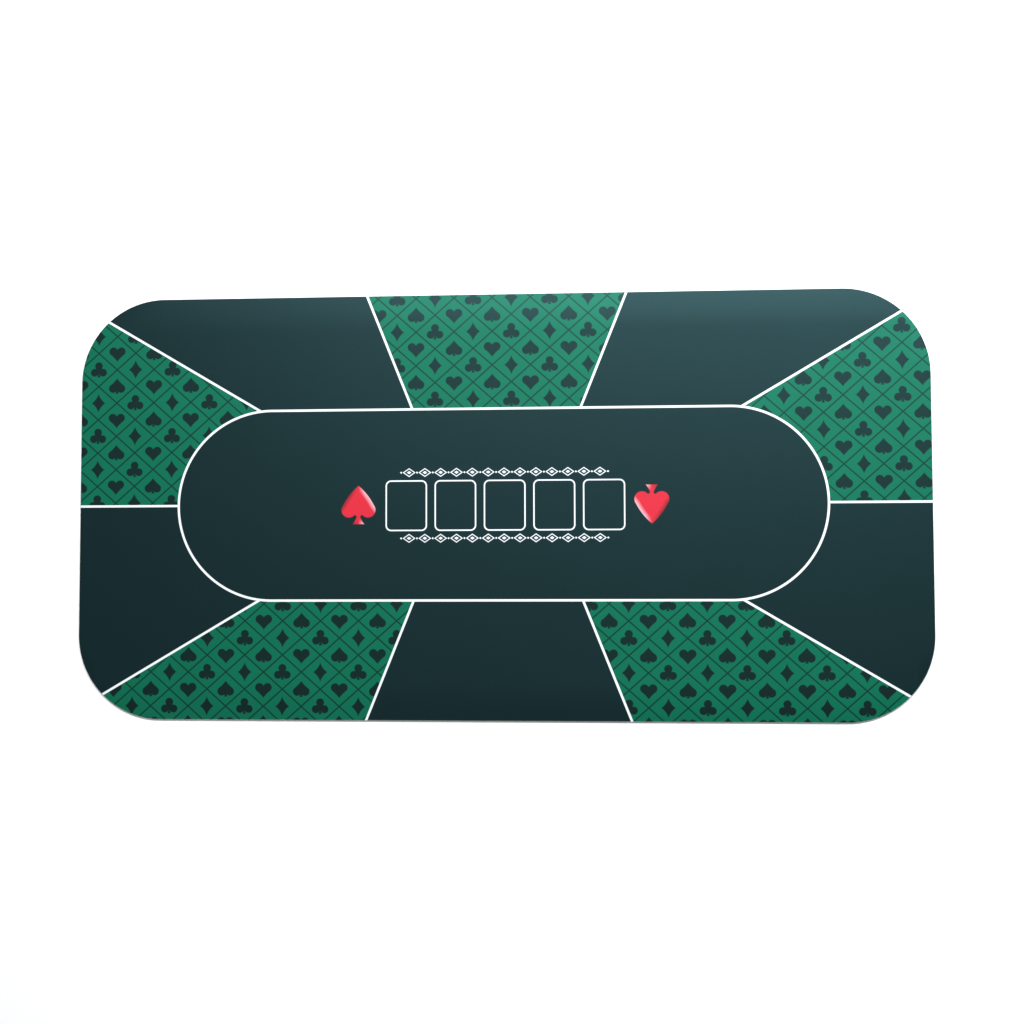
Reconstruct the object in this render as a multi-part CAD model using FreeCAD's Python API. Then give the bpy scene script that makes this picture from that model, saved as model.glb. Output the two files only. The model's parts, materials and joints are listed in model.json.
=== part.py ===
import FreeCAD, Part
import math
import os

# Roll-up table top mat: a printed polyester cloth bonded all over to a foam rubber sheet.
# X runs along the mat, Y across it and Z up, with the origin at the centre of the underside.
# The rubber is divided into strips across the mat. They turn about lines in the middle of
# the cloth's thickness, so the whole sheet rolls up from its right end, print inside.

# Driving dimensions, in millimetres
mat_length = 1200.0
mat_width = 600.0
corner_radius = 120.0
rubber_thickness = 2.5
cloth_thickness = 0.5

# The rolled shape: each strip turns by the same angle, and the strips get narrower towards
# the right end so that each turn of the roll lies just inside the turn before it
strip_count = 32
strips_per_turn = 12
turn_pitch = 4.0
strip_gap = 0.1


def rounded_plate(bottom, thickness):
    """The mat's outline, a rectangle with four round corners, raised to a plate."""
    plate = Part.makeBox(
        mat_length,
        mat_width,
        thickness,
        FreeCAD.Vector(-mat_length / 2, -mat_width / 2, bottom),
    )
    upright_edges = [
        edge
        for edge in plate.Edges
        if abs(edge.Vertexes[0].Z - edge.Vertexes[-1].Z) > thickness / 2
    ]
    return plate.makeFillet(corner_radius, upright_edges)


def strip_edges():
    """Where the strips meet along X, from the mat's left end to its right end."""
    half_turn = math.tan(math.pi / strips_per_turn)
    inward_step = turn_pitch / strips_per_turn
    mean_reach = mat_length / (2 * strip_count * half_turn)
    outer_reach = mean_reach + inward_step * (strip_count - 1) / 2
    edges = [-mat_length / 2]
    for index in range(strip_count):
        reach = outer_reach - inward_step * index
        edges.append(edges[-1] + 2 * reach * half_turn)
    return edges


def rubber_strip(sheet, start, end):
    """One strip of the rubber sheet, between two lines across the mat."""
    band = Part.makeBox(
        end - start,
        mat_width,
        rubber_thickness,
        FreeCAD.Vector(start, -mat_width / 2, 0),
    )
    return sheet.common(band).Solids[0]


os.makedirs("parts", exist_ok=True)

printed_cloth = rounded_plate(rubber_thickness, cloth_thickness)
printed_cloth.exportStep("parts/printed_cloth.step")

rubber_sheet = rounded_plate(0.0, rubber_thickness)
edges = strip_edges()
for index in range(strip_count):
    start = edges[index] + (strip_gap / 2 if index > 0 else 0.0)
    end = edges[index + 1] - (strip_gap / 2 if index < strip_count - 1 else 0.0)
    strip = rubber_strip(rubber_sheet, start, end)
    strip.exportStep(f"parts/rubber_strip_{index + 1:02d}.step")
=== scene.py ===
import json
import math

import bmesh
import bpy
from mathutils import Matrix, Vector

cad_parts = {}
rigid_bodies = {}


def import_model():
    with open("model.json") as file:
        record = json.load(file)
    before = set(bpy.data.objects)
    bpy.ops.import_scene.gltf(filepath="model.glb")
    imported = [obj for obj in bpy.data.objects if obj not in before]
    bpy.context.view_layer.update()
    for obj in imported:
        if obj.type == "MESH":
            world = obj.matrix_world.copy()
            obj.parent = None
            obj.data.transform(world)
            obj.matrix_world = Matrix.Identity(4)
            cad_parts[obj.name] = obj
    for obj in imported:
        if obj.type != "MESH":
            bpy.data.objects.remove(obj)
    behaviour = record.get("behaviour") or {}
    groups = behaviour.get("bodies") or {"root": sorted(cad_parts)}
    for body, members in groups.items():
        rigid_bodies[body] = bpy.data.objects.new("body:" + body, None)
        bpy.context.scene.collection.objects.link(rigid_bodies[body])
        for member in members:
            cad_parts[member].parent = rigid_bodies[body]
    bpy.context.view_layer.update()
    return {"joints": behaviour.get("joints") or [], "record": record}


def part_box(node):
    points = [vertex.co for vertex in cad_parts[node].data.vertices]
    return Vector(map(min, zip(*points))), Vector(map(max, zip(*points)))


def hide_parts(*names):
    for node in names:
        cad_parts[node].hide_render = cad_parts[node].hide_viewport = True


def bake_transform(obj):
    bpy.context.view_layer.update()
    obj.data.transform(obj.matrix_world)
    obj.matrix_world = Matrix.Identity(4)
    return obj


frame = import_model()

# A roll-up mat for a card table: one printed cloth on one foam rubber sheet. Both are built
# as skins that meet edge to edge, each spanning one hinge between two strips.
# Lengths are in metres for the meshes and in millimetres for the print.

mm = 0.001


class Wire:
    # A node's output, with arithmetic, so that a pattern reads as a formula

    def __init__(self, tree, socket=None):
        self.tree = tree
        self.socket = socket

    def add(self, kind, settings=None, sockets=None, output=0):
        made = self.tree.nodes.new(kind)
        for name, value in (settings or {}).items():
            setattr(made, name, value)
        for name, value in (sockets or {}).items():
            if isinstance(value, Wire):
                value.into(made.inputs[name])
            else:
                made.inputs[name].default_value = value
        return Wire(self.tree, made.outputs[output])

    def into(self, target):
        self.tree.links.new(self.socket, target)

    def maths(self, operation, *terms, clamp=False):
        settings = {"operation": operation, "use_clamp": clamp}
        return self.add("ShaderNodeMath", settings, dict(enumerate(terms)))

    def __add__(self, other):
        return self.maths("ADD", self, other)

    def __radd__(self, other):
        return self.maths("ADD", other, self)

    def __sub__(self, other):
        return self.maths("SUBTRACT", self, other)

    def __rsub__(self, other):
        return self.maths("SUBTRACT", other, self)

    def __mul__(self, other):
        return self.maths("MULTIPLY", self, other)

    def __rmul__(self, other):
        return self.maths("MULTIPLY", other, self)

    def __truediv__(self, other):
        return self.maths("DIVIDE", self, other)

    def __rtruediv__(self, other):
        return self.maths("DIVIDE", other, self)

    def __neg__(self):
        return self.maths("MULTIPLY", self, -1.0)

    def __abs__(self):
        return self.maths("ABSOLUTE", self)

    def most(self, other):
        return self.maths("MAXIMUM", self, other)

    def least(self, other):
        return self.maths("MINIMUM", self, other)

    def over(self, edge):
        return self.maths("GREATER_THAN", self, edge)

    # 1 inside a shape and 0 outside it, from a distance that is negative inside
    def inked(self, soft):
        return self.maths("MULTIPLY_ADD", self, -1.0 / soft, 0.5, clamp=True)

    def vector(self, operation, *terms, output=0):
        settings = {"operation": operation}
        return self.add("ShaderNodeVectorMath", settings, dict(enumerate(terms)), output)

    def length(self):
        return self.vector("LENGTH", self, output=1)

    # Distance beyond a straight line: along is the line's outward direction
    def beyond(self, along, start):
        return self.vector("DOT_PRODUCT", self, (*along, 0.0), output=1) - start

    def point(self, x, y):
        return self.add("ShaderNodeCombineXYZ", None, {0: x, 1: y})

    def split(self):
        x = self.add("ShaderNodeSeparateXYZ", None, {0: self})
        return x, Wire(self.tree, x.socket.node.outputs[1])

    # This wire's 0 to 1 picks between two values, or two colours
    def between(self, low, high):
        settings = {"data_type": "FLOAT"}
        return self.add("ShaderNodeMix", settings, {0: self, 2: low, 3: high})

    def dyed(self, low, high):
        settings = {"data_type": "RGBA"}
        return self.add("ShaderNodeMix", settings, {0: self, 6: low, 7: high}, output=2)

    def scaled(self, factor):
        settings = {"operation": "SCALE"}
        return self.add("ShaderNodeVectorMath", settings, {0: self, 3: factor})


def newMaterial(name):
    material = bpy.data.materials.new(name)
    material.use_nodes = True
    tree = material.node_tree
    shader = next(n for n in tree.nodes if n.type == "BSDF_PRINCIPLED")
    place = Wire(tree).add("ShaderNodeUVMap", {"uv_map": "flatPlace"})
    return material, shader, place.scaled(1 / mm)  # millimetres from the mat's centre


outline = {
    "cornerRadius": 120 * mm,
    "arcStep": 3.0,  # degrees
    "clothRounding": 0.28 * mm,  # the cloth's cut edge is pressed a little round
    "rubberRounding": 0.5 * mm,
    "roundingAngles": (0, 30, 60, 90),  # degrees
    "rubberHollow": 0.2 * mm,  # the die leaves the foam's cut wall slightly hollow
    "hollowTurn": 135.0,  # degrees of the hollow's curve up the wall: its top stays a little in
    "wallSteps": 4,
    "segmentsPerSkin": 10,
    "rowPitch": 50 * mm,
    "sliver": 0.01 * mm,  # no cut through a skin falls nearer than this to its ends
    "wallTilt": 0.5,  # a face whose normal rises less than this is cut wall
    "creaseAngle": 40.0,  # degrees: a sharper edge than this shows as an edge
    # each skin runs on a little under its neighbour, so that no slit opens in the roll
    "clothTongue": (0.3 * mm, 0.05 * mm),  # how far, and how deep it is tucked in
    "rubberTongue": (0.8 * mm, 0.12 * mm),
}

clothLow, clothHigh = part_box("printed_cloth")
halfLength, halfWidth = clothHigh.x, clothHigh.y
bondHeight, printHeight = clothLow.z, clothHigh.z
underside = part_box("rubber_strip_01")[0].z
joints = frame["joints"]
hingeHeight = joints[0]["pos_m"][2]
stripEdges = [-halfLength, *[joint["pos_m"][0] for joint in joints], halfLength]
stripMiddles = [(a + b) / 2 for a, b in zip(stripEdges, stripEdges[1:])]
print("mat", round(halfLength * 2, 3), "x", round(halfWidth * 2, 3), "m,", len(joints), "bends")


def sideLine(left, right, inset):
    # Points along one long side as (x, half width), with the round corners where they fall
    fullRadius = outline["cornerRadius"]
    radius = fullRadius - inset
    arcStart = halfLength - fullRadius

    def turn(x, size):
        return math.asin(min(max(abs(x) - arcStart, 0.0) / size, 1.0))

    sweep = math.degrees(abs(turn(right, fullRadius) - turn(left, fullRadius)))
    steps = math.ceil(sweep / outline["arcStep"])
    flank = math.copysign(1.0, left + right)
    points = []
    if flank > 0 and left < arcStart or steps == 0:
        points.append((left, halfWidth - inset))
    if steps:
        first, last = turn(left, radius), turn(right, radius)
        for i in range(steps + 1):
            angle = first + (last - first) * i / steps
            x = flank * (arcStart + radius * math.sin(angle))
            points.append((x, halfWidth - fullRadius + radius * math.cos(angle)))
    if flank < 0 and right > -arcStart or steps == 0:
        points.append((right, halfWidth - inset))
    return points


def skinMesh(name, left, right, levels, tongue):
    # A closed skin between two lines across the mat, as rings of points stacked from the
    # lowest level to the highest, then cut by lines across the mat and along it
    reach, tuck = tongue
    outerLeft = left - (reach if left > -halfLength else 0.0)
    outerRight = right + (reach if right < halfLength else 0.0)
    mesh = bpy.data.meshes.new(name)
    bm = bmesh.new()
    rings = []
    for inset, height in levels:
        side = sideLine(outerLeft, outerRight, inset)
        around = [(x, -y) for x, y in side] + [(x, y) for x, y in reversed(side)]
        rings.append([bm.verts.new((x, y, height)) for x, y in around])
    for lower, upper in zip(rings, rings[1:]):
        for i in range(len(lower)):
            j = (i + 1) % len(lower)
            bm.faces.new((lower[i], lower[j], upper[j], upper[i]))
    bm.faces.new(list(reversed(rings[0])))
    bm.faces.new(rings[-1])
    segments = outline["segmentsPerSkin"]
    stations = [left + (right - left) * i / segments for i in range(segments + 1)]
    sliver = outline["sliver"]
    stations = [x for x in stations if outerLeft + sliver < x < outerRight - sliver]
    rows = int((halfWidth - sliver) / outline["rowPitch"])
    cuts = [((x, 0, 0), (1, 0, 0)) for x in stations]
    cuts += [((0, i * outline["rowPitch"], 0), (0, 1, 0)) for i in range(-rows, rows + 1)]
    merge = 1e-7  # metres
    for place, across in cuts:
        whole = bm.verts[:] + bm.edges[:] + bm.faces[:]
        bmesh.ops.bisect_plane(bm, geom=whole, plane_co=place, plane_no=across, dist=merge)
    bm.normal_update()
    bottom, top = levels[0][1], levels[-1][1]
    flatPlace = bm.loops.layers.uv.new("flatPlace")
    for face in bm.faces:
        upright = abs(face.normal.z) < outline["wallTilt"]
        for loop in face.loops:
            x, y, z = loop.vert.co
            # a cut wall continues outwards from the flat sheet, as if it were folded up
            drop = top - z if upright else 0.0
            loop[flatPlace].uv = (x + face.normal.x * drop, y + face.normal.y * drop)
        face.smooth = True
    near = 1e-6  # metres
    crease = math.radians(outline["creaseAngle"])
    for edge in bm.edges:
        atSeam = any(all(abs(v.co.x - x) < near for v in edge.verts) for x in (left, right))
        edge.smooth = not atSeam and edge.calc_face_angle(0.0) < crease
    for vert in bm.verts:
        if left - near < vert.co.x < right + near:
            continue
        vert.co.y -= math.copysign(tuck, vert.co.y)
        vert.co.z += tuck if vert.co.z < (bottom + top) / 2 else -tuck
    bm.to_mesh(mesh)
    bm.free()
    skin = bpy.data.objects.new(name, mesh)
    bpy.context.scene.collection.objects.link(skin)
    return skin


def clothLevels():
    rounding = outline["clothRounding"]
    levels = [(0.0, bondHeight)]
    for angle in map(math.radians, outline["roundingAngles"]):
        inset = rounding * (1 - math.cos(angle))
        levels.append((inset, printHeight - rounding * (1 - math.sin(angle))))
    return levels


def rubberLevels():
    rounding, hollow = outline["rubberRounding"], outline["rubberHollow"]
    levels = []
    for angle in map(math.radians, reversed(outline["roundingAngles"])):
        inset = rounding * (1 - math.cos(angle))
        levels.append((inset, underside + rounding * (1 - math.sin(angle))))
    straight = bondHeight - underside - rounding
    turn = math.radians(outline["hollowTurn"])
    for i in range(outline["wallSteps"]):
        share = (i + 1) / outline["wallSteps"]
        levels.append((hollow * math.sin(turn * share), underside + rounding + straight * share))
    return levels


# The print. All its numbers are millimetres on the flat mat.


def leafShape(place, leaf):
    # Two round lobes and the point over them: a spade without its stem, or a heart turned over
    (lobeX, lobeY), radius, tip = leaf["lobe"], leaf["lobeRadius"], leaf["tip"]
    reach = math.hypot(lobeX, tip - lobeY)
    lean = math.atan2(lobeX, tip - lobeY) + math.asin(radius / reach)
    outward = (math.cos(lean), math.sin(lean))
    upward = (-math.sin(lean), math.cos(lean))
    foot = upward[0] * lobeX + upward[1] * lobeY
    run = place.beyond(upward, foot)
    share = run / (tip * upward[1] - foot)
    # the sides draw in by the waist halfway up, or swell where it is below zero
    pinch = (share * (1 - share)).most(0.0) * (4 * leaf["waist"])
    side = place.beyond(outward, tip * outward[1]) + pinch
    lobe = place.vector("DISTANCE", place, (lobeX, lobeY, 0), output=1) - radius
    return lobe, side, run


def stemShape(across, up, stem):
    tall = stem["top"] - stem["foot"]
    down = (stem["top"] - up) / tall
    flare = down * down * (stem["footWidth"] - stem["topWidth"]) + stem["topWidth"]
    return (across - flare).most(stem["foot"] - up).most(up - stem["top"])


suitLattice = {
    "start": (-7.0, -16.8),
    "halfPitch": (27.07, 24.015),
    "lineWidth": 1.9,
    "soft": 0.9,
    "leaf": {"lobe": (5.8, -3.1), "lobeRadius": 6.1, "tip": 11.4, "waist": 0.5},
    "heartDrop": 0.7,
    "heartNotch": -6.0,
    "stem": {"top": -4.5, "foot": -10.6, "topWidth": 1.3, "footWidth": 2.2},
    "clubTop": (0.0, 5.7),
    "clubSide": (6.2, -3.8),
    "clubRadius": 5.6,
    "clubHeart": 5.1,
    "diamond": (9.8, 13.3),
    "diamondHollow": 1.3,
    "aside": 9.0,  # takes the heart's notch or the stem off the marks that have none
}


def suitPattern(place):
    # One lattice of lozenges over the whole cloth, with a suit mark in each
    (startX, startY), (pitchX, pitchY) = suitLattice["start"], suitLattice["halfPitch"]
    p = place.beyond((0.5 / pitchX, 0.5 / pitchY), startX * 0.5 / pitchX + startY * 0.5 / pitchY)
    q = place.beyond((0.5 / pitchX, -0.5 / pitchY), startX * 0.5 / pitchX - startY * 0.5 / pitchY)
    cellP = p.maths("ROUND", p)
    cellQ = q.maths("ROUND", q)
    offP, offQ = p - cellP, q - cellQ
    lineSlope = 0.5 * math.hypot(1 / pitchX, 1 / pitchY)
    line = (0.5 - abs(offP).most(abs(offQ))) * (1 / lineSlope) - suitLattice["lineWidth"] / 2
    across = abs((offP + offQ) * pitchX)
    up = (offP - offQ) * pitchY
    oddRow = p.maths("PINGPONG", cellP - cellQ, 1.0)
    second = p.maths("PINGPONG", cellP, 1.0)  # heart after spade, diamond after club
    standing = up * (1 - 2 * second) - second * suitLattice["heartDrop"]
    lobe, side, run = leafShape(place.point(across, standing), suitLattice["leaf"])
    notch = (suitLattice["heartNotch"] - standing) - (1 - second) * suitLattice["aside"]
    spadeOrHeart = lobe.least(side.most(-run).most(notch))
    here = place.point(across, up)
    clubTop = here.vector("DISTANCE", here, (*suitLattice["clubTop"], 0), output=1)
    clubSide = here.vector("DISTANCE", here, (*suitLattice["clubSide"], 0), output=1)
    clubMiddle = here.length() - suitLattice["clubHeart"]
    club = (clubTop.least(clubSide) - suitLattice["clubRadius"]).least(clubMiddle)
    wide, tall = suitLattice["diamond"]
    chord, hollow = math.hypot(wide, tall), suitLattice["diamondHollow"]
    bow = chord * chord / (8 * hollow) + hollow / 2
    away = (bow - hollow) / chord
    bowCentre = (wide / 2 + tall * away, tall / 2 + wide * away, 0)
    corner = place.point(across, abs(up))
    diamond = bow - corner.vector("DISTANCE", corner, bowCentre, output=1)
    stem = stemShape(across, up, suitLattice["stem"]) + second * suitLattice["aside"]
    mark = oddRow.between(spadeOrHeart, second.between(club, diamond)).least(stem)
    return mark.inked(suitLattice["soft"]), line.inked(suitLattice["soft"])


printLines = {
    "centre": (1.4, 2.6),
    "ovalHalfStraight": 322.7,
    "ovalRadius": 134.9,
    "lineWidth": 3.1,
    "spokeFoot": 118.7,  # where the middle spokes leave the oval
    "spokeSlope": 0.401,
    "spokeShift": (0.75, 2.25),  # the lower pair's shift to the left, and what the upper adds
    "diagonalHeight": 124.35,
    "diagonalSlope": 0.59,
    "soft": 0.7,
}


def seatPanels(place, x, y):
    # Which seat panels are green, and the white lines between them
    lines, soft = printLines, printLines["soft"]
    ax, ay = abs(x), abs(y)
    ends = place.point((ax - lines["ovalHalfStraight"]).most(0.0), ay)
    oval = ends.length() - lines["ovalRadius"]
    upper = y.over(0.0)
    lowerShift, upperShift = lines["spokeShift"]
    shifted = abs(x + (upper * upperShift + lowerShift))
    lean = 1 / math.hypot(1, lines["spokeSlope"])
    footX = lines["spokeFoot"] - lines["spokeSlope"] * lines["ovalRadius"]
    spoke = place.point(shifted, ay).beyond((lean, -lines["spokeSlope"] * lean), footX * lean)
    rise = 1 / math.hypot(1, lines["diagonalSlope"])
    startY = lines["diagonalHeight"] - lines["diagonalSlope"] * lines["ovalHalfStraight"]
    folded = place.point(ax, ay)
    diagonal = folded.beyond((-lines["diagonalSlope"] * rise, rise), startY * rise)
    outside = (-oval).inked(soft)
    side = spoke.over(0.0) * diagonal.over(0.0)
    green = outside * abs(upper - side)
    spokes = (abs(spoke).least(abs(diagonal)).least(ay) - lines["lineWidth"] / 2).inked(soft)
    ring = (abs(oval) - lines["lineWidth"] / 2).inked(soft)
    return green, ring.most(spokes * outside)


centreArt = {
    "cardStart": (-128.9, 1.1),  # the first card's middle
    "cardPitch": 69.6,
    "cardCount": 5,
    "cardHalf": (28.5, 34.9),
    "cardCorner": 7.0,
    "cardLine": 1.8,
    "turnPoint": (9.4, 2.0),  # the right spade is the left one turned about this point
    "spadeReach": 206.4,
    "leaf": {"lobe": (13.6, -6.6), "lobeRadius": 10.6, "tip": 27.6, "waist": -1.8},
    "stem": {"top": -9.0, "foot": -26.6, "topWidth": 1.2, "footWidth": 8.2},
    "rimReach": 6.5,  # how far the rims' shading comes in
    "footGlow": (-19.0, 0.15),  # the stem's foot is shaded from this height down, this fast
    "pinkRim": (0.11, 0.9),  # how fast it comes in from the middle, and its most
    "darkRim": (-0.08, 0.1),  # the same on the other side, and its strength at the middle
    "bandMiddle": (9.5, 1.4),
    "bandReach": (147.6, 46.4),
    "lozenge": (9.0, 6.2),
    "lozengePitch": 22.4,
    "lozengeLine": 1.1,
    "lozengeHeart": 0.66,  # how far in the filled middle starts, as a share of the lozenge
    "bead": 1.5,
}


def cardPlaces(place, x, y):
    # Five round-cornered outlines for the shared cards
    art = centreArt
    startX, middleY = art["cardStart"]
    slots = (x - startX) / art["cardPitch"]
    slot = slots.maths("ROUND", slots).most(0.0).least(art["cardCount"] - 1.0)
    across = abs((slots - slot) * art["cardPitch"])
    halfX, halfY = (half - art["cardCorner"] for half in art["cardHalf"])
    beyond = place.point((across - halfX).most(0.0), (abs(y - middleY) - halfY).most(0.0))
    edge = beyond.length() - art["cardCorner"]
    return (abs(edge) - art["cardLine"] / 2).inked(printLines["soft"])


def lozengeBands(x, y):
    # A plain chain of lozenges above and below the cards
    art = centreArt
    middleX, middleY = art["bandMiddle"]
    reachX, reachY = art["bandReach"]
    wide, tall = art["lozenge"]
    fromMiddle = abs(x - middleX)
    up = abs(abs(y - middleY) - reachY)
    across = fromMiddle.maths("PINGPONG", fromMiddle, art["lozengePitch"] / 2)
    steep = 1 / math.hypot(1 / wide, 1 / tall)
    outer = (across / wide + up / tall - 1) * steep
    ring = abs(outer + art["lozengeLine"] / 2) - art["lozengeLine"] / 2
    heart = outer + steep * art["lozengeHeart"]
    between = abs(across - art["lozengePitch"] / 2)
    bead = between + up - art["bead"]
    shape = ring.least(heart).least(bead)
    return shape.most(fromMiddle - reachX).inked(printLines["soft"])


def redSpades(place, x, y):
    # Two red spades, one at each end of the card row, with one rim pink and the other dark
    art = centreArt
    turnX, turnY = art["turnPoint"]
    fromTurn = x - turnX
    facing = fromTurn.maths("SIGN", fromTurn)
    across = art["spadeReach"] - abs(fromTurn)
    up = (turnY - y) * facing
    lobe, side, run = leafShape(place.point(abs(across), up), art["leaf"])
    stem = stemShape(abs(across), up, art["stem"])
    whole = lobe.least(side.most(-run)).least(stem)
    (glowHeight, glowRate), (pinkRate, pinkMost) = art["footGlow"], art["pinkRim"]
    darkRate, darkStart = art["darkRim"]
    glow = (glowHeight - up) * glowRate
    nearRim = (side / art["rimReach"] + 1).most(glow).most(0.0).least(1.0)
    pink = nearRim * (across * pinkRate).most(0.0).least(pinkMost)
    dark = nearRim * (across * darkRate + darkStart).most(0.0).least(1.0)
    return whole.inked(printLines["soft"]), pink, dark


def fromOutline(x, y):
    # Distance from the cut edge: negative on the flat sheet, positive on the cut wall
    corner = outline["cornerRadius"] / mm
    straightX, straightY = halfLength / mm - corner, halfWidth / mm - corner
    past = x.point((abs(x) - straightX).most(0.0), (abs(y) - straightY).most(0.0))
    return past.length() - corner


dyes = {
    "teal": (0.0031, 0.0103, 0.0120, 1),
    "green": (0.0018, 0.1030, 0.0525, 1),
    "mark": (0.0027, 0.0103, 0.0090, 1),
    "lattice": (0.0015, 0.0230, 0.0140, 1),
    "white": (0.72, 0.76, 0.78, 1),
    "red": (0.50, 0.013, 0.029, 1),
    "pink": (0.62, 0.38, 0.43, 1),
    "darkRed": (0.19, 0.006, 0.012, 1),
    "yarn": (0.34, 0.38, 0.38, 1),  # undyed yarn at the cut edge
}

clothFeel = {
    "cloud": {"Scale": 0.011, "Detail": 3.0},  # the dye's slow cloudiness over the cloth
    "mottle": {"Scale": 0.8, "Detail": 2.0},  # the yarns' own fine mottle
    "cloudSwing": 0.16,
    "mottleSwing": 0.3,
    "dyeStrength": 0.77,  # where the cloud and the mottle add nothing
    "course": 0.55,  # the knit's row height
    "wale": 0.75,  # its stitch width
    "wander": (0.5, 0.4),  # how far the mottle moves a stitch along and up
    "stitchHeight": (0.2, 0.3),  # in the groove between wales, and what their ridge adds
    "waleHeight": 0.25,
    "yarnHeight": 0.5,
    "knitDepth": 0.03 * mm,
    "knitStrength": 0.6,
    "roughness": (0.40, 0.16, 0.3),  # the least, what the mottle adds, what fray adds
    "frayReach": 0.9,
    "fraySoft": 0.5,
    "frayShare": 0.35,  # of undyed yarn among the dyed
    "shine": 0.22,
    "shineTint": (0.43, 0.94, 1.0, 1),
}


def knitHeight(x, y, mottle):
    # Rows of small v-shaped stitches
    halfWale = clothFeel["wale"] / 2
    wanderX, wanderY = clothFeel["wander"]
    zigzag = x.maths("PINGPONG", x + mottle * wanderX, halfWale) / halfWale
    turns = (y + mottle * wanderY) * (2 * math.pi / clothFeel["course"]) + zigzag * math.pi
    stitch = turns.maths("SINE", turns)
    low, more = clothFeel["stitchHeight"]
    return stitch * (zigzag * more + low) + zigzag * clothFeel["waleHeight"]


def printedCloth():
    feel = clothFeel
    material, shader, place = newMaterial("printedCloth")
    x, y = place.split()
    middleX, middleY = printLines["centre"]
    green, whiteLines = seatPanels(place, x - middleX, y - middleY)
    mark, lattice = suitPattern(place)
    white = whiteLines.most(cardPlaces(place, x, y)).most(lozengeBands(x, y))
    spade, pink, dark = redSpades(place, x, y)

    cloud = place.add("ShaderNodeTexNoise", None, {"Vector": place, **feel["cloud"]})
    mottle = place.add("ShaderNodeTexNoise", None, {"Vector": place, **feel["mottle"]})
    strength = cloud * feel["cloudSwing"] + mottle * feel["mottleSwing"] + feel["dyeStrength"]

    panel = mark.dyed(lattice.dyed(dyes["green"], dyes["lattice"]), dyes["mark"])
    ground = green.dyed(dyes["teal"], panel)
    ink = spade.dyed(ground, dark.dyed(pink.dyed(dyes["red"], dyes["pink"]), dyes["darkRed"]))
    colour = white.dyed(ink, dyes["white"]).scaled(strength)

    # undyed yarn shows along the cut edge and on the cut wall
    edge = fromOutline(x, y)
    frayed = (-edge - mottle * feel["frayReach"]).inked(feel["fraySoft"])
    fray = frayed * feel["frayShare"]
    fray.dyed(colour, dyes["yarn"]).into(shader.inputs["Base Color"])
    least, mottleAdds, frayAdds = feel["roughness"]
    rough = mottle * mottleAdds + fray * frayAdds + least
    rough.into(shader.inputs["Roughness"])
    bump = {
        "Height": knitHeight(x, y, mottle) + mottle * feel["yarnHeight"],
        "Strength": feel["knitStrength"],
        "Distance": feel["knitDepth"],
    }
    place.add("ShaderNodeBump", None, bump).into(shader.inputs["Normal"])
    shader.inputs["Specular IOR Level"].default_value = feel["shine"]
    shader.inputs["Specular Tint"].default_value = feel["shineTint"]
    return material


rubberFeel = {
    "colour": (0.0135, 0.0135, 0.0145, 1),
    "shine": 0.4,
    "waffle": 2.2,  # the embossed grip pattern's pitch
    "waffleDepth": 0.16 * mm,
    "waffleTop": (0.75, 0.2),  # where the ribs are pressed flat, and how softly
    "cell": 1.4,  # foam cells to the millimetre, on the cut wall
    "cellDepth": 0.22 * mm,
    "wallStart": 0.02,  # past the outline
    "grain": {"Scale": 0.35, "Detail": 4.0},
    "roughness": (0.68, 0.24, -0.12),  # plain, what the grain adds, what the ribs' tops add
    "bumpStrength": 0.8,
}


def foamRubber():
    feel = rubberFeel
    material, shader, place = newMaterial("foamRubber")
    x, y = place.split()
    shader.inputs["Base Color"].default_value = feel["colour"]
    shader.inputs["Specular IOR Level"].default_value = feel["shine"]
    pitch = feel["waffle"] / 2
    ribs = x.maths("PINGPONG", x + y, pitch).most(x.maths("PINGPONG", x - y, pitch)) / pitch
    cells = place.add("ShaderNodeTexVoronoi", None, {"Vector": place, "Scale": feel["cell"]})
    grain = place.add("ShaderNodeTexNoise", None, {"Vector": place, **feel["grain"]})
    wall = fromOutline(x, y).over(feel["wallStart"])
    waffle = ribs.maths("SMOOTH_MIN", ribs, *feel["waffleTop"]) * feel["waffleDepth"]
    height = wall.between(waffle, cells * feel["cellDepth"])
    plain, grainAdds, ribsAdd = feel["roughness"]
    rough = grain * grainAdds + ribs * (1 - wall) * ribsAdd + plain
    rough.into(shader.inputs["Roughness"])
    bump = {"Height": height, "Strength": feel["bumpStrength"], "Distance": 1.0}
    place.add("ShaderNodeBump", None, bump).into(shader.inputs["Normal"])
    return material


def buildSkins():
    cloth, rubber = printedCloth(), foamRubber()
    print("cloth and rubber materials made")
    last = len(joints) - 1
    nodesOfBody = frame["record"]["behaviour"]["bodies"]
    for k, joint in enumerate(joints):
        left = -halfLength if k == 0 else stripMiddles[k]
        right = halfLength if k == last else stripMiddles[k + 1]
        # with this reach, skins bent over their hinges would meet in one smooth round
        bendReach = (1 + math.sqrt(3)) * (stripMiddles[k + 1] - stripMiddles[k]) / 2
        start = (stripEdges[k + 1] - bendReach, 0, hingeHeight)
        end = (stripEdges[k + 1] + bendReach, 0, hingeHeight)
        top = skinMesh(f"cloth_{k + 1:02d}", left, right, clothLevels(), outline["clothTongue"])
        base = skinMesh(f"rubber_{k + 1:02d}", left, right, rubberLevels(), outline["rubberTongue"])
        top.data.materials.append(cloth)
        base.data.materials.append(rubber)
        for skin in (top, base):
            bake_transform(skin)
        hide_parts("printed_cloth")
        strips = [n for n in nodesOfBody[joint["parent"]] if n.startswith("rubber")]
        if k == last:
            strips += nodesOfBody[joint["child"]]
        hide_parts(*strips)
        # the cut's area is the strip's, less what the round corners take
        side = sideLine(left, right, 0.0)
        area = sum((b[0] - a[0]) * (a[1] + b[1]) for a, b in zip(side, side[1:]))
        right - left
        2 * max(y for x, y in side)
    print("skins built:", 2 * len(joints), "with corners of", outline["cornerRadius"] / mm, "mm")


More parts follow.
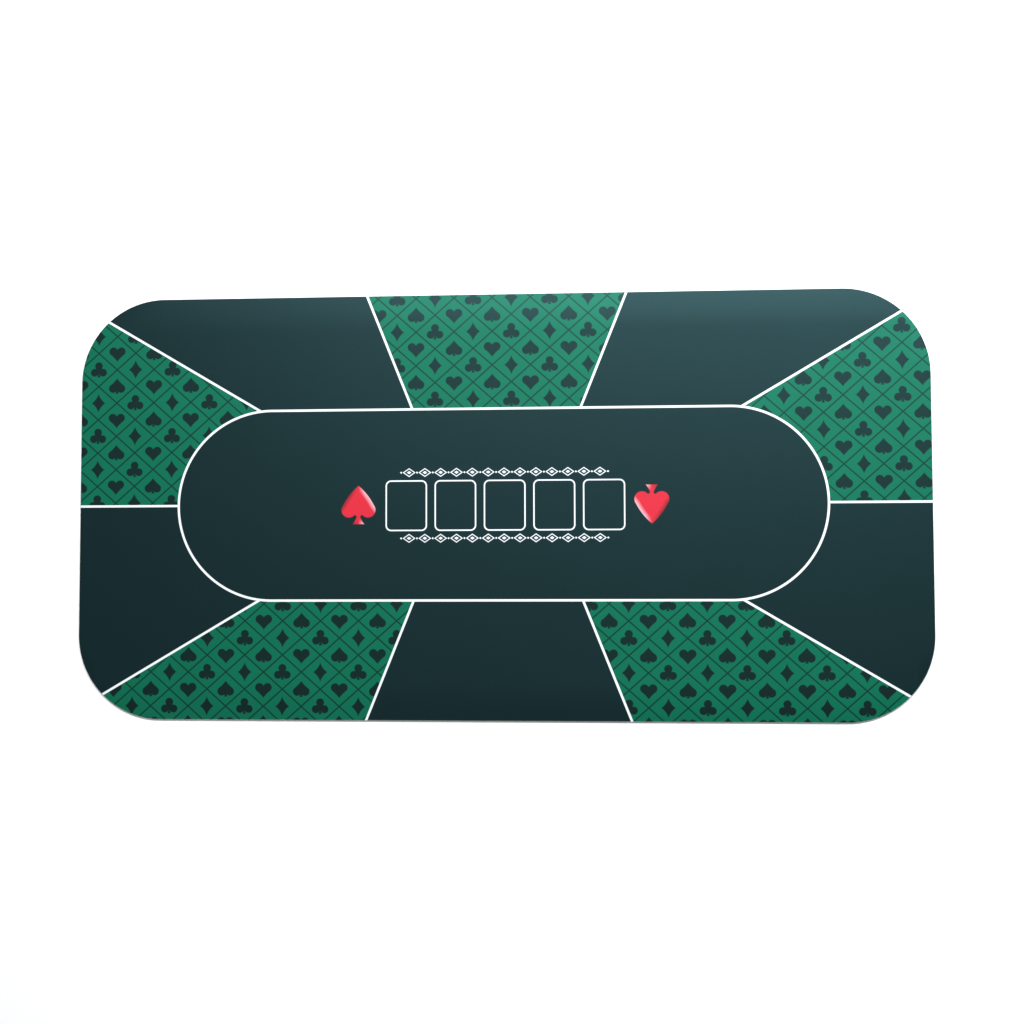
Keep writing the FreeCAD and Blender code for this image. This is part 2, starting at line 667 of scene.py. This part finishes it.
buildSkins()


studio = {
    "floorSize": 12.0,
    "floorDrop": 0.4 * mm,
    "floorColour": (0.93, 0.93, 0.93, 1),
    "floorRoughness": 0.9,
    # place, size along and across, power, colour
    "key": ((0.05, 1.20, 1.75), (1.6, 0.6), 61.0, (0.98, 0.99, 1.0)),
    "cornerLight": ((0.95, 0.95, 1.20), (0.9, 0.5), 24.0, (0.9, 0.97, 1.0)),
    "frontFill": ((-0.6, -2.4, 1.20), (2.4, 1.0), 14.0, (1.0, 1.0, 1.0)),
    "worldLight": 0.28,
    "worldColour": (1, 1, 1, 1),
}


def areaLight(name):
    place, (along, across), power, colour = studio[name]
    light = bpy.data.lights.new(name, "AREA")
    light.shape = "RECTANGLE"
    light.size = along
    light.size_y = across
    light.energy = power
    light.color = colour
    holder = bpy.data.objects.new(name, light)
    holder.location = place
    holder.rotation_euler = (-Vector(place)).to_track_quat("-Z", "Y").to_euler()
    bpy.context.scene.collection.objects.link(holder)


def paleFloor():
    mesh = bpy.data.meshes.new("floor")
    bm = bmesh.new()
    bmesh.ops.create_grid(bm, x_segments=1, y_segments=1, size=studio["floorSize"] / 2)
    bm.to_mesh(mesh)
    bm.free()
    floor = bpy.data.objects.new("floor", mesh)
    floor.location.z = underside - studio["floorDrop"]
    material = bpy.data.materials.new("floorPaper")
    material.use_nodes = True
    paper = material.node_tree.nodes["Principled BSDF"]
    paper.inputs["Base Color"].default_value = studio["floorColour"]
    paper.inputs["Roughness"].default_value = studio["floorRoughness"]
    mesh.materials.append(material)
    bpy.context.scene.collection.objects.link(floor)


def lightStudio():
    paleFloor()
    for name in ("key", "cornerLight", "frontFill"):
        areaLight(name)
    world = bpy.data.worlds.new("studio")
    bpy.context.scene.world = world
    world.use_nodes = True
    background = world.node_tree.nodes["Background"]
    background.inputs["Color"].default_value = studio["worldColour"]
    background.inputs["Strength"].default_value = studio["worldLight"]
    bpy.context.scene.view_settings.view_transform = "Standard"


eye = {
    "place": (0.1435, -0.0950, 1.8197),
    "tip": 2.715,  # degrees, towards the top of the mat
    "pan": 3.872,  # degrees, towards the left
    "roll": -0.139,  # degrees
    "lens": 45.70,  # millimetres, as is the sensor's width
    "sensor": 36.0,
}


def placeCamera():
    camera = bpy.data.cameras.new("eye")
    camera.lens = eye["lens"]
    camera.sensor_width = eye["sensor"]
    holder = bpy.data.objects.new("eye", camera)
    turn = Matrix.Identity(4)
    for axis, angle in (("Y", eye["pan"]), ("X", eye["tip"]), ("Z", eye["roll"])):
        turn = turn @ Matrix.Rotation(math.radians(angle), 4, axis)
    holder.matrix_world = Matrix.Translation(eye["place"]) @ turn
    bpy.context.scene.collection.objects.link(holder)
    bpy.context.scene.camera = holder


lightStudio()
placeCamera()
print("studio and camera ready")
